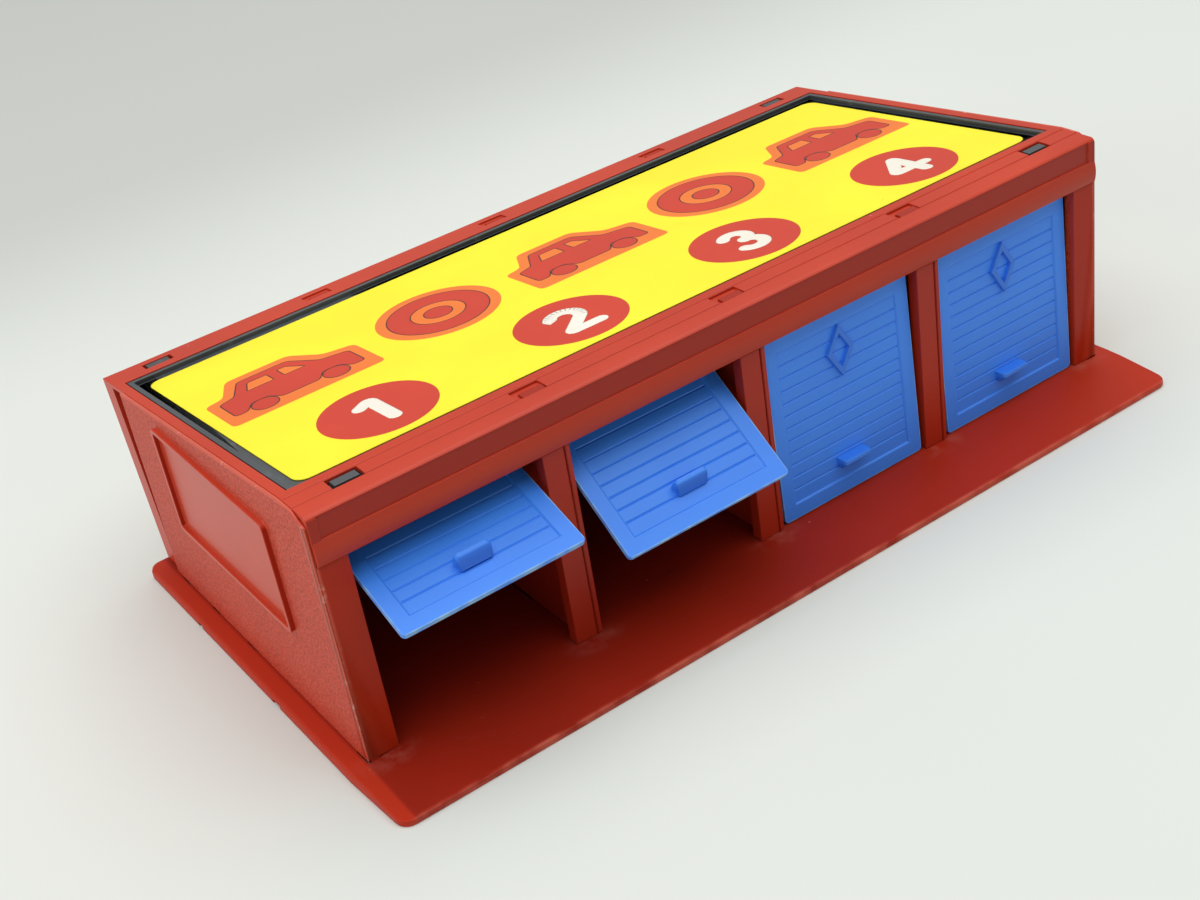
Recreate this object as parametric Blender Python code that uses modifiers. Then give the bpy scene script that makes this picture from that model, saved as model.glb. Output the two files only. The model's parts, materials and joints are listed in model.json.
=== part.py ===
# Toy parking garage in moulded plastic: a base plate, two end walls and three partitions carry
# a roof shell with a framed roof panel and its label. Four up-and-over doors tilt on stub pins.
# Metres, +Z up, front towards -Y. "Depth" is the distance behind the base plate's front edge.

import math

import bmesh
import bpy
from mathutils import Matrix, Vector

# Bays and posts
bay_count = 4
bay_width = 0.0439
mid_post_width = 0.0066
end_post_width = 0.00725
post_front = 0.0194
post_thickness = 0.003

# Roof line: level front rim, then a slope down to the back wall, which stands square to it
roof_height = 0.0608
roof_level_depth = 0.0295
roof_depth = 0.125
roof_slope = math.radians(6.3)

# Base plate
base_side_margin = 0.0045
base_back_margin = 0.001
base_thickness = 0.0026
base_sheet = 0.0016
base_rim = 0.0016
base_front_edge = 0.0014
base_ramp_depth = 0.016
base_foot_band = 0.008
base_front_taper = 0.001
base_corner_radius = 0.003
base_side_bevel = 0.0009
base_notches = [(0.051, 0.054), (0.09, 0.092)]
base_notch_cut = 0.001

# Roof shell: frame, fascia, back wall and the strips at the back wall's ends
frame_thickness = 0.00105
frame_front_depth = 0.0312
frame_back_margin = 0.0083
frame_side = 0.00205
fascia_front = 0.0189
fascia_thickness = 0.0027
fascia_height = 0.0109
fascia_recess = 0.0004
fascia_recess_top_margin = 0.0006
fascia_recess_height = 0.005
fascia_end_strip = 0.0018
fascia_corner_radius = 0.0012
bead_height = 0.005
bead_projection = 0.0004
rim_grooves = [0.0244, 0.0284]
rim_groove_width = 0.0005
rim_groove_cut = 0.0003
back_wall_thickness = 0.0018
back_strip_width = 0.0055
back_strip_thickness = 0.0018

# End walls
wall_thickness = 0.0025
wall_skin = 0.0007
wall_back_margin = 0.0128
wall_corner_run = 0.0048
wall_corner_drop = 0.0021
tongue_thickness = 0.0013
tongue_overlap = 0.004
rib_front_depth = 0.0389
rib_back_margin = 0.0189
rib_top_margin = 0.0098
rib_height = 0.0265
rib_width = 0.0011
rib_projection = 0.00125
rib_corner_radius = 0.0016
field_relief = 0.0002
wall_front_tab_depth = 0.0215
wall_back_tab_margins = [0.0403, 0.0218, 0.0052]
wall_foot_tab_length = 0.004
wall_slot_show = 0.0002

# Partitions
partition_thickness = 0.002
partition_front_tab_depth = 0.044
partition_back_tab_margin = 0.0182
partition_foot_tab_length = 0.008
partition_back_flange = 0.0015
foot_tab_drop = 0.0021

# Tabs that come up through the slots in the roof shell's front and back rims
tab_width = 0.0055
tab_length = 0.0022
tab_root = 0.0015
slot_width = 0.007
slot_length = 0.004
front_slot_depth = 0.0262
back_slot_margin = 0.0038
back_slot_length = 0.003
panel_tab_side = 0.092

# Roof panel and its label
panel_thickness = 0.0012
panel_side_overlap = 0.0015
panel_front_gap = 0.0006
panel_rim_width = 0.0012
panel_rim_drop = 0.00015
label_length = 0.1966
label_front_margin = 0.0022
label_back_margin = 0.0034
label_thickness = 0.0002
label_corner_radius = 0.003
label_gap = 0.0001

# Doors, measured up the door from its foot and square to its face
door_side_gap = 0.00105
door_foot_gap = 0.0003
door_top_overlap = 0.0004
door_stop_gap = 0.0004
door_thickness = 0.0012
door_lean = math.radians(2.4)
door_corner_radius = 0.001
door_border = 0.0035
door_top_border = 0.0056
slat_count = 12
field_inset = 0.0003
slat_groove_width = 0.0005
slat_groove_cut = 0.0003
diamond_width = 0.0077
diamond_height = 0.0128
diamond_line = 0.0011
diamond_drop = 0.01204
diamond_relief = 0.0002
handle_width = 0.008
handle_low = 0.0066
handle_high = 0.0094
handle_projection = 0.0026
handle_lip = 0.0012
door_open_angles = [67.1, 51.3, 0.0, 0.0]

# Door pivots: arm, lug and stub pins on the door, bosses on the posts
pivot_setback = 0.0165
pivot_drop = 0.0197
arm_inset = 0.0009
arm_thickness = 0.0012
arm_spread = 0.009
lug_radius = 0.003
pin_radius = 0.0012
pin_clearance = 0.00008
pin_reach = 0.0023
pin_end_gap = 0.0003
boss_radius = 0.0035

# Clearance between pieces that stand on or slot into each other
fit_gap = 0.0003

# How far a cutter runs past what it cuts, and a joined shape runs into its neighbour
overrun = 0.002
weld_overlap = 0.0001

# Worked out from the sizes above
bay_pitch = bay_width + mid_post_width
bay_centres = [(bay - (bay_count - 1) / 2) * bay_pitch for bay in range(bay_count)]
partition_centres = [(line - bay_count / 2) * bay_pitch for line in range(1, bay_count)]
inner_half = bay_count * bay_width / 2 + (bay_count - 1) * mid_post_width / 2
wall_outer = inner_half + end_post_width
wall_inner = wall_outer - wall_thickness
shell_half = wall_outer - wall_skin - fit_gap
opening_half = shell_half - frame_side
fascia_bottom = roof_height - fascia_height
frame_back_depth = roof_depth - frame_back_margin
wall_back_depth = roof_depth - wall_back_margin
back_slot_depth = roof_depth - back_slot_margin
rib_back_depth = wall_back_depth - rib_back_margin
rib_high = roof_height - rib_top_margin
rib_low = rib_high - rib_height
wall_foot_tabs = [wall_front_tab_depth] + [wall_back_depth - margin for margin in wall_back_tab_margins]
partition_foot_tabs = [partition_front_tab_depth, wall_back_depth - partition_back_tab_margin]
label_front = frame_front_depth + label_front_margin
label_back = frame_back_depth - label_back_margin
label_width = label_back - label_front
label_depth = (label_front + label_back) / 2
base_half = wall_outer + base_side_margin
half_depth = roof_depth / 2
floor_height = base_thickness + fit_gap
post_top = fascia_bottom - fit_gap
fascia_back = fascia_front + fascia_thickness
panel_drop = frame_thickness + fit_gap
support_drop = panel_drop + panel_thickness + fit_gap
door_width = bay_width - 2 * door_side_gap
door_foot_height = base_thickness + door_foot_gap
door_rise = fascia_bottom + door_top_overlap - door_foot_height
door_height = door_rise / math.cos(door_lean)
diamond_centre = door_height - diamond_drop
door_top_depth = fascia_back + door_stop_gap
door_foot_depth = door_top_depth - door_rise * math.tan(door_lean)
pivot_depth = door_top_depth + pivot_setback
pivot_height = fascia_bottom + door_top_overlap - pivot_drop
boss_hole_radius = pin_radius + pin_clearance
boss_hole_reach = pin_reach + pin_end_gap

red = (0.46, 0.03, 0.016)
blue = (0.06, 0.24, 0.78)
black = (0.025, 0.027, 0.03)
yellow = (0.9, 0.82, 0.04)


def roof_top(depth):
    return roof_height - max(0, depth - roof_level_depth) * math.tan(roof_slope)


def back_face(height, inset):
    # Depth of a plane parallel to the back wall's outer face, an inset in front of it
    drop = roof_top(roof_depth) - height
    return roof_depth - drop * math.tan(roof_slope) - inset / math.cos(roof_slope)


def back_corner(roof_drop, inset):
    # Where the line a drop below the roof meets the plane an inset in front of the back face
    height = roof_top(roof_depth) - roof_drop
    for _ in range(8):
        height = roof_top(back_face(height, inset)) - roof_drop
    return back_face(height, inset), height


def arc(centre, radius, start, end, steps):
    angles = [start + (end - start) * step / steps for step in range(steps + 1)]
    return [(centre[0] + radius * math.cos(a), centre[1] + radius * math.sin(a)) for a in angles]


def rounded(corners, radius, steps=5):
    # A closed outline with the same radius at each of its corners
    outline = []
    for index, corner in enumerate(corners):
        here = Vector(corner)
        back = (Vector(corners[index - 1]) - here).normalized()
        ahead = (Vector(corners[(index + 1) % len(corners)]) - here).normalized()
        half = back.angle(ahead) / 2
        centre = here + (back + ahead).normalized() * radius / math.sin(half)
        first = here + back * radius / math.tan(half) - centre
        last = here + ahead * radius / math.tan(half) - centre
        start = math.atan2(first.y, first.x)
        sweep = math.remainder(math.atan2(last.y, last.x) - start, 2 * math.pi)
        outline += arc(centre, radius, start, start + sweep, steps)
    return outline


def rectangle(low_u, high_u, low_v, high_v):
    return [(low_u, low_v), (high_u, low_v), (high_u, high_v), (low_u, high_v)]


def tidy(mesh):
    work = bmesh.new()
    work.from_mesh(mesh)
    bmesh.ops.remove_doubles(work, verts=work.verts, dist=1e-6)
    bmesh.ops.dissolve_limit(work, angle_limit=math.radians(0.1), verts=work.verts, edges=work.edges)
    bmesh.ops.recalc_face_normals(work, faces=work.faces)
    work.to_mesh(mesh)
    work.free()


def add_object(name, mesh):
    item = bpy.data.objects.new(name, mesh)
    bpy.context.scene.collection.objects.link(item)
    return item


def settle(item):
    # Replace the object's mesh and modifiers by the finished shape
    evaluated = item.evaluated_get(bpy.context.evaluated_depsgraph_get())
    mesh = bpy.data.meshes.new_from_object(evaluated)
    item.modifiers.clear()
    item.data = mesh


# Turns that stand a flat outline up: side view (depth, height) and front view (across, height)
side_view = Matrix.Rotation(math.pi / 2, 4, "Z") @ Matrix.Rotation(math.pi / 2, 4, "X")
front_view = Matrix.Rotation(math.pi / 2, 4, "X")
plan_view = Matrix.Identity(4)


def extruded(outlines, start, end, view):
    # Outlines drawn in a view, made solid between two distances along the line of sight
    curve = bpy.data.curves.new("outline", "CURVE")
    curve.dimensions = "2D"
    curve.fill_mode = "BOTH"
    curve.extrude = abs(end - start) / 2
    for outline in outlines:
        spline = curve.splines.new("POLY")
        spline.points.add(len(outline) - 1)
        for point, (across, up) in zip(spline.points, outline):
            point.co = (across, up, 0, 1)
        spline.use_cyclic_u = True
    sketch = add_object("sketch", curve)
    sketch.matrix_world = view @ Matrix.Translation((0, 0, (start + end) / 2))
    bpy.context.view_layer.update()
    evaluated = sketch.evaluated_get(bpy.context.evaluated_depsgraph_get())
    mesh = bpy.data.meshes.new_from_object(evaluated)
    mesh.transform(sketch.matrix_world)
    bpy.data.objects.remove(sketch)
    tidy(mesh)
    return add_object("solid", mesh)


def box(low, high):
    mesh = bpy.data.meshes.new("box")
    work = bmesh.new()
    middle = (Vector(low) + Vector(high)) / 2
    size = Vector(high) - Vector(low)
    bmesh.ops.create_cube(work, size=1, matrix=Matrix.Translation(middle) @ Matrix.Diagonal(size.to_4d()))
    work.to_mesh(mesh)
    work.free()
    return add_object("box", mesh)


def cylinder(radius, start, end, depth, height):
    # A round bar along X
    mesh = bpy.data.meshes.new("cylinder")
    work = bmesh.new()
    place = Matrix.Translation(((start + end) / 2, depth, height)) @ Matrix.Rotation(math.pi / 2, 4, "Y")
    bmesh.ops.create_cone(work, cap_ends=True, segments=32, radius1=radius, radius2=radius,
                          depth=abs(end - start), matrix=place)
    work.to_mesh(mesh)
    work.free()
    return add_object("cylinder", mesh)


def combine(target, operation, others):
    # One Boolean with all the other shapes, which are then removed
    tools = bpy.data.collections.new("tools")
    bpy.context.scene.collection.children.link(tools)
    for other in others:
        tools.objects.link(other)
        other.display_type = "WIRE"
        other.hide_render = True
    modifier = target.modifiers.new(operation.title(), "BOOLEAN")
    modifier.operation = operation
    modifier.solver = "EXACT"
    modifier.operand_type = "COLLECTION"
    modifier.collection = tools
    settle(target)
    for other in others:
        bpy.data.objects.remove(other)
    bpy.data.collections.remove(tools)
    return target


def join(target, others):
    return combine(target, "UNION", others)


def cut(target, others):
    return combine(target, "DIFFERENCE", others)


def finish(item, name, colour, roughness, location):
    item.name = name
    item.location = location
    material = bpy.data.materials.new(name)
    material.use_nodes = True
    shader = material.node_tree.nodes["Principled BSDF"]
    shader.inputs["Base Color"].default_value = (*colour, 1)
    shader.inputs["Roughness"].default_value = roughness
    shader.inputs["Metallic"].default_value = 0
    item.material_slots[0].link = "OBJECT"
    item.material_slots[0].material = material
    bpy.context.scene.collection.objects.unlink(item)
    garage.objects.link(item)
    return item


def dress(mesh):
    # One empty material slot, and smooth shading with crisp corners
    mesh.materials.clear()
    mesh.materials.append(None)
    mesh.shade_smooth()
    mesh.set_sharp_from_angle(angle=math.radians(30))


def make_base():
    depth = back_face(base_thickness, 0) + base_back_margin
    front = base_half - base_front_taper
    outline = rounded([(-front, 0), (front, 0), (base_half, post_front), (base_half, depth),
                       (-base_half, depth), (-base_half, post_front)], base_corner_radius)
    plate = extruded([outline], 0, base_thickness, plan_view)
    work = bmesh.new()
    work.from_mesh(plate.data)
    weights = work.edges.layers.float.new("bevel_weight_edge")
    for edge in work.edges:
        if min(vert.co.z for vert in edge.verts) > base_thickness / 2:
            edge[weights] = 1
    work.to_mesh(plate.data)
    work.free()
    bevel = plate.modifiers.new("Bevel", "BEVEL")
    bevel.limit_method = "WEIGHT"
    bevel.width = base_side_bevel
    bevel.segments = 2
    settle(plate)

    past = base_half + overrun
    ramp = extruded([[(-overrun, base_front_edge), (0, base_front_edge), (base_ramp_depth, base_thickness),
                      (base_ramp_depth, base_thickness + overrun), (-overrun, base_thickness + overrun)]],
                    -past, past, side_view)
    hollow_side = base_half - base_rim
    hollow = box((-hollow_side, base_foot_band, -overrun),
                 (hollow_side, depth - base_rim, base_thickness - base_sheet))
    cutters = [ramp, hollow]
    for side in (-1, 1):
        edge = side * (base_half - base_notch_cut)
        for low, high in base_notches:
            cutters.append(box((min(edge, side * past), low, -overrun),
                               (max(edge, side * past), high, base_thickness - base_sheet)))
        inner = side * (wall_inner - fit_gap)
        outer = side * (wall_outer + wall_slot_show)
        for middle in wall_foot_tabs:
            reach = wall_foot_tab_length / 2 + fit_gap
            cutters.append(box((min(inner, outer), middle - reach, -overrun),
                               (max(inner, outer), middle + reach, base_thickness + overrun)))
    for centre in partition_centres:
        side = partition_thickness / 2 + fit_gap
        for middle in partition_foot_tabs:
            reach = partition_foot_tab_length / 2 + fit_gap
            cutters.append(box((centre - side, middle - reach, -overrun),
                               (centre + side, middle + reach, base_thickness + overrun)))
    return cut(plate, cutters)


def foot_tabs(low_x, high_x, middles, length):
    return [box((low_x, middle - length / 2, floor_height - foot_tab_drop),
                (high_x, middle + length / 2, floor_height + overrun)) for middle in middles]


def make_partition():
    # A solid block as wide as the post, hollowed on both sides between its post and back flange
    half = mid_post_width / 2
    level = roof_height - support_drop
    back_inset = back_wall_thickness + fit_gap
    behind_fascia = fascia_back + fit_gap
    outline = [(post_front, floor_height), (back_face(floor_height, back_inset), floor_height),
               back_corner(support_drop, back_inset), (roof_level_depth, level),
               (behind_fascia, level), (behind_fascia, post_top), (post_front, post_top)]
    block = extruded([outline], -half, half, side_view)
    flange_front = back_inset + partition_back_flange
    post_back = post_front + post_thickness
    pocket = [(post_back, 0), (back_face(0, flange_front), 0),
              (back_face(roof_height, flange_front), roof_height), (post_back, roof_height)]
    web = partition_thickness / 2
    cut(block, [extruded([pocket], side * web, side * (half + overrun), side_view) for side in (-1, 1)])

    boss = cylinder(boss_radius, -half, half, pivot_depth, pivot_height)
    tab_half = web - weld_overlap
    tabs = foot_tabs(-tab_half, tab_half, partition_foot_tabs, partition_foot_tab_length)
    for middle in (front_slot_depth, back_slot_depth):
        top = roof_top(middle + tab_length / 2) - weld_overlap
        root = top - support_drop - tab_root
        tabs.append(box((-tab_width / 2, middle - tab_length / 2, root),
                        (tab_width / 2, middle + tab_length / 2, top)))
    join(block, [boss] + tabs)
    holes = [cylinder(boss_hole_radius, side * (half - boss_hole_reach), side * (half + overrun),
                      pivot_depth, pivot_height) for side in (-1, 1)]
    return cut(block, holes)


def make_end_wall(side):
    # A solid block as wide as the end post, cut back to the post, the wall, its skin and its tongue
    level = roof_height - support_drop
    behind_fascia = fascia_back + fit_gap
    back_inset = back_wall_thickness + fit_gap
    skin_inner = wall_outer - wall_skin
    tongue_outer = shell_half - back_strip_thickness - fit_gap
    tongue_inner = tongue_outer - tongue_thickness
    tongue_front = wall_back_depth - tongue_overlap
    outline = [(post_front, floor_height), (back_face(floor_height, back_inset), floor_height),
               back_corner(support_drop, back_inset),
               (wall_back_depth, roof_top(wall_back_depth) - support_drop),
               (wall_back_depth, roof_top(wall_back_depth)), (roof_level_depth, roof_height),
               (post_front + wall_corner_run, roof_height),
               (post_front, roof_height - wall_corner_drop)]
    wall = extruded([outline], side * inner_half, side * wall_outer, side_view)

    above = roof_height + overrun
    past = roof_depth + overrun
    post_back = post_front + post_thickness
    rebate_back = wall_back_depth + weld_overlap
    rebate = [(post_front - overrun, post_top), (behind_fascia, post_top), (behind_fascia, level),
              (roof_level_depth, level), (rebate_back, roof_top(rebate_back) - support_drop),
              (rebate_back, above), (post_front - overrun, above)]
    cut(wall, [extruded([rebate], side * (inner_half - overrun), side * skin_inner, side_view),
               extruded([rectangle(post_back, past, 0, above)],
                        side * (inner_half - overrun), side * tongue_inner, side_view),
               extruded([rectangle(post_back, tongue_front, 0, above)],
                        side * (tongue_inner - overrun), side * wall_inner, side_view),
               extruded([rectangle(wall_back_depth, past, 0, above)],
                        side * tongue_outer, side * (wall_outer + overrun), side_view)])

    outer_rib = rounded(rectangle(rib_front_depth, rib_back_depth, rib_low, rib_high), rib_corner_radius)
    inner_rib = rounded(rectangle(rib_front_depth + rib_width, rib_back_depth - rib_width,
                                  rib_low + rib_width, rib_high - rib_width), rib_corner_radius / 2)
    rib = extruded([outer_rib], side * (wall_outer - wall_skin / 2), side * (wall_outer + rib_projection),
                   side_view)
    cut(rib, [extruded([inner_rib], side * (wall_outer + field_relief),
                       side * (wall_outer + rib_projection + overrun), side_view)])
    boss = cylinder(boss_radius, side * inner_half, side * (wall_inner + wall_skin / 2),
                    pivot_depth, pivot_height)
    low_x, high_x = sorted((side * (wall_inner + weld_overlap), side * (skin_inner - fit_gap)))
    tabs = foot_tabs(low_x, high_x, wall_foot_tabs, wall_foot_tab_length)
    join(wall, [rib, boss] + tabs)
    hole = cylinder(boss_hole_radius, side * (inner_half - overrun), side * (inner_half + boss_hole_reach),
                    pivot_depth, pivot_height)
    return cut(wall, [hole])


def bead_outline():
    # The half-round bead along the fascia's lower edge, from its foot to its top
    half = bead_height / 2
    radius = (half ** 2 + bead_projection ** 2) / (2 * bead_projection)
    centre = (fascia_front - bead_projection + radius, fascia_bottom + half)
    spread = math.asin(half / radius)
    return arc(centre, radius, math.pi + spread, math.pi - spread, 8)


def make_shell():
    corner = (fascia_front + fascia_corner_radius, roof_height - fascia_corner_radius)
    outline = bead_outline()
    outline += arc(corner, fascia_corner_radius, math.pi, math.pi / 2, 5)
    for groove in rim_grooves:
        outline += [(groove - rim_groove_width / 2, roof_height), (groove, roof_height - rim_groove_cut),
                    (groove + rim_groove_width / 2, roof_height)]
    underside = roof_height - frame_thickness
    outline += [(roof_level_depth, roof_height), (roof_depth, roof_top(roof_depth)),
                (back_face(floor_height, 0), floor_height),
                (back_face(floor_height, back_strip_width), floor_height),
                back_corner(frame_thickness, back_strip_width),
                (roof_level_depth, underside), (fascia_back, underside), (fascia_back, fascia_bottom)]
    shell = extruded([outline], -shell_half, shell_half, side_view)

    pocket_half = shell_half - back_strip_thickness
    pocket_drop = frame_thickness + weld_overlap
    pocket_front = back_strip_width + overrun
    pocket = [(back_face(0, pocket_front), 0), (back_face(0, back_wall_thickness), 0),
              back_corner(pocket_drop, back_wall_thickness), back_corner(pocket_drop, pocket_front)]
    recess_half = shell_half - fascia_end_strip
    recess_top = roof_height - fascia_recess_top_margin
    above = roof_height + overrun
    below = roof_top(roof_depth) - 2 * overrun
    cutters = [extruded([pocket], -pocket_half, pocket_half, side_view),
               box((-opening_half, frame_front_depth, below), (opening_half, frame_back_depth, above)),
               box((-recess_half, fascia_front - overrun, recess_top - fascia_recess_height),
                   (recess_half, fascia_front + fascia_recess, recess_top))]
    for centre in partition_centres + [-panel_tab_side, panel_tab_side]:
        for middle, length in ((front_slot_depth, slot_length), (back_slot_depth, back_slot_length)):
            cutters.append(box((centre - slot_width / 2, middle - length / 2, below),
                               (centre + slot_width / 2, middle + length / 2, above)))
    return cut(shell, cutters)


def make_panel_rim():
    # The raised rim that stands inside the frame's opening at the two sides and the back
    half = opening_half - fit_gap
    front = frame_front_depth + fit_gap
    back = frame_back_depth - fit_gap
    root_drop = panel_drop + panel_thickness / 2
    rim = extruded([[(front, roof_top(front) - root_drop), (back, roof_top(back) - root_drop),
                     (back, roof_top(back) - panel_rim_drop), (front, roof_top(front) - panel_rim_drop)]],
                   -half, half, side_view)
    inner = half - panel_rim_width
    pocket = box((-inner, front - overrun, roof_top(roof_depth) - 4 * overrun),
                 (inner, back - panel_rim_width, roof_height + overrun))
    return cut(rim, [pocket])


def make_panel():
    front = fascia_back + panel_front_gap
    under = panel_drop + panel_thickness
    back_inset = back_wall_thickness + fit_gap
    outline = [(front, roof_height - under), (roof_level_depth, roof_height - under),
               back_corner(under, back_inset), back_corner(panel_drop, back_inset),
               (roof_level_depth, roof_height - panel_drop), (front, roof_height - panel_drop)]
    half = opening_half + panel_side_overlap
    panel = extruded([outline], -half, half, side_view)
    tabs = []
    for centre in (-panel_tab_side, panel_tab_side):
        for middle in (front_slot_depth, back_slot_depth):
            top = roof_top(middle + tab_length / 2) - weld_overlap
            root = top - panel_drop - panel_thickness / 2
            tabs.append(box((centre - tab_width / 2, middle - tab_length / 2, root),
                            (centre + tab_width / 2, middle + tab_length / 2, top)))
    join(panel, tabs + [make_panel_rim()])

    below = roof_top(roof_depth) - 4 * overrun
    above = roof_height + overrun
    cutters = []
    for centre in partition_centres:
        side = tab_width / 2 + fit_gap
        reach = tab_length / 2 + fit_gap
        cutters.append(box((centre - side, front - overrun, below),
                           (centre + side, front_slot_depth + reach, above)))
        cutters.append(box((centre - side, back_slot_depth - reach, below),
                           (centre + side, roof_depth, above)))
    strip_inner = shell_half - back_strip_thickness - fit_gap
    for side in (-1, 1):
        low_x, high_x = sorted((side * strip_inner, side * shell_half))
        cutters.append(box((low_x, wall_back_depth - fit_gap, below), (high_x, roof_depth, above)))
    return cut(panel, cutters)


def make_label():
    outline = rounded(rectangle(-label_length / 2, label_length / 2, -label_width / 2, label_width / 2),
                      label_corner_radius)
    return extruded([outline], 0, label_thickness, plan_view)


def door_point(rise, inset):
    # Depth and height of a point up the closed door, an inset behind its front face
    depth = door_foot_depth + rise * math.sin(door_lean) + inset * math.cos(door_lean)
    height = door_foot_height + rise * math.cos(door_lean) - inset * math.sin(door_lean)
    return depth, height


def tangent_angle(point, side):
    # Direction from the pivot in which a line from the point touches the lug
    run = Vector(point) - Vector((pivot_depth, pivot_height))
    return math.atan2(run.y, run.x) + side * math.acos(lug_radius / run.length)


def arm_outline():
    middle = (pivot_height - door_foot_height) / math.cos(door_lean)
    inside = (door_thickness + field_inset + slat_groove_cut) / 2
    low = door_point(middle - arm_spread, inside)
    high = door_point(middle + arm_spread, inside)
    start = tangent_angle(low, 1)
    end = tangent_angle(high, -1)
    return [high, low] + arc((pivot_depth, pivot_height), lug_radius, start, end, 14)


def make_door():
    half = door_width / 2
    sheet = extruded([rounded(rectangle(-half, half, 0, door_height), door_corner_radius, 3)],
                     0, -door_thickness, front_view)

    field_low = door_border
    field_high = door_height - door_top_border
    pitch = (field_high - field_low) / slat_count
    slats = [(-overrun, field_low), (field_inset, field_low)]
    for line in range(1, slat_count):
        middle = field_low + line * pitch
        slats += [(field_inset, middle - slat_groove_width / 2), (field_inset + slat_groove_cut, middle),
                  (field_inset, middle + slat_groove_width / 2)]
    slats += [(field_inset, field_high), (-overrun, field_high)]
    field_half = half - door_border
    cut(sheet, [extruded([slats], -field_half, field_half, side_view)])

    across = diamond_width / 2
    up = diamond_height / 2
    shrink = 1 - diamond_line * math.hypot(across, up) / (across * up)
    rings = [[(scale * across, diamond_centre), (0, diamond_centre + scale * up),
              (-scale * across, diamond_centre), (0, diamond_centre - scale * up)] for scale in (1, shrink)]
    inside = (door_thickness + field_inset + slat_groove_cut) / 2
    diamond = extruded(rings, diamond_relief, -inside, front_view)
    handle_outline = [(inside, handle_low), (inside, handle_high), (-handle_projection, handle_high),
                      (-handle_projection, handle_high - handle_lip)]
    handle = extruded([handle_outline], -handle_width / 2, handle_width / 2, side_view)
    join(sheet, [diamond, handle])
    sheet.data.transform(Matrix.Translation((0, door_foot_depth, door_foot_height))
                         @ Matrix.Rotation(-door_lean, 4, "X"))

    arm_outer = half - arm_inset
    arm_inner = arm_outer - arm_thickness
    pin_end = bay_width / 2 + pin_reach
    arms = []
    for side in (-1, 1):
        arms.append(extruded([arm_outline()], side * arm_inner, side * arm_outer, side_view))
        arms.append(cylinder(pin_radius, side * (arm_outer - arm_thickness / 2), side * pin_end,
                             pivot_depth, pivot_height))
    join(sheet, arms)
    sheet.data.transform(Matrix.Translation((0, -pivot_depth, -pivot_height)))
    return sheet


for item in list(bpy.data.objects):
    bpy.data.objects.remove(item)
garage = bpy.data.collections.new("toy_parking_garage")
bpy.context.scene.collection.children.link(garage)

base = make_base()
dress(base.data)
finish(base, "base_plate", red, 0.35, (0, -half_depth, 0))

for side, side_name in ((-1, "left"), (1, "right")):
    wall = make_end_wall(side)
    dress(wall.data)
    finish(wall, f"{side_name}_end_wall", red, 0.45, (0, -half_depth, 0))

partition = make_partition()
dress(partition.data)
for number, centre in enumerate(partition_centres, 1):
    copy = add_object("partition", partition.data)
    finish(copy, f"partition_{number}", red, 0.35, (centre, -half_depth, 0))
bpy.data.objects.remove(partition)

shell = make_shell()
dress(shell.data)
finish(shell, "roof_and_back_shell", red, 0.35, (0, -half_depth, 0))

panel = make_panel()
dress(panel.data)
finish(panel, "roof_panel", black, 0.3, (0, -half_depth, 0))

label = make_label()
dress(label.data)
label_height = roof_top(label_depth) - panel_drop + label_gap
finish(label, "roof_label", yellow, 0.4, (0, label_depth - half_depth, label_height))
label.rotation_euler.x = -roof_slope

door = make_door()
dress(door.data)
for number, (centre, angle) in enumerate(zip(bay_centres, door_open_angles), 1):
    copy = add_object("door", door.data)
    finish(copy, f"door_{number}", blue, 0.3, (centre, pivot_depth - half_depth, pivot_height))
    copy.rotation_euler.x = -math.radians(angle)
bpy.data.objects.remove(door)
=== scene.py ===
import json
import math

import bmesh
import bpy
from mathutils import Matrix, Vector


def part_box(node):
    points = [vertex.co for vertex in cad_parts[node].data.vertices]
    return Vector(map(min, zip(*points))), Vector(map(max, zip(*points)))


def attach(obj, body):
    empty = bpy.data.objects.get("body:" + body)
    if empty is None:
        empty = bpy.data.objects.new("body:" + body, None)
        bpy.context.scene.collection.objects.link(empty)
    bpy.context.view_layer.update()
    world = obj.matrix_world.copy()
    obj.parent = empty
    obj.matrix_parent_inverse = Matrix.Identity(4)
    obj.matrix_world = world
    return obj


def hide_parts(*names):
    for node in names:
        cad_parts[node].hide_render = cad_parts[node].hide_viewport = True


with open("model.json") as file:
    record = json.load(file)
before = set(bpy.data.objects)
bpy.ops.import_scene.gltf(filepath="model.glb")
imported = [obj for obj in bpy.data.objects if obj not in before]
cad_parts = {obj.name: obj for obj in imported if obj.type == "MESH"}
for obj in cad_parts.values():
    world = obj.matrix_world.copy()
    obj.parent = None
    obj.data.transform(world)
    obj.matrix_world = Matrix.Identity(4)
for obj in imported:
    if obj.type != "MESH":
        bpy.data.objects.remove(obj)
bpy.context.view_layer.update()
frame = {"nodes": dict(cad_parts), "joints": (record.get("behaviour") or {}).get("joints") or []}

# Toy parking garage in moulded polystyrene, dressed for its picture. Metres, fronts of the bays
# towards -Y. Sizes in the settings are in millimetres, but for the floor, lamps and camera.

mm = 0.001
touch = 0.02 * mm           # points this near to a plane lie on it
halfDepth = 62.5            # the row frame's Y is the depth behind the plinth's front edge less this
roofHeight = 60.8
roofRim = 29.5              # depth at which the level front rim of the roof ends
roofTurn = math.radians(-6.3)
jointPlaces = {joint["child"]: joint for joint in frame["joints"]}
pitch = 50.5
bayCentres = [pitch * step for step in (-1.5, -0.5, 0.5, 1.5)]
postCentres = [pitch * step for step in (-2, -1, 0, 1, 2)]


def roofTop(depth):
    # Height of the roof at a depth: level over the front rim, then sloping down to the back
    return roofHeight + max(0, depth - roofRim) * math.tan(roofTurn)


# Working in Blender

def activate(piece):
    if bpy.context.object and bpy.context.object.mode != "OBJECT":
        bpy.ops.object.mode_set(mode="OBJECT")
    bpy.ops.object.select_all(action="DESELECT")
    piece.select_set(True)
    bpy.context.view_layer.objects.active = piece


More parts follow.
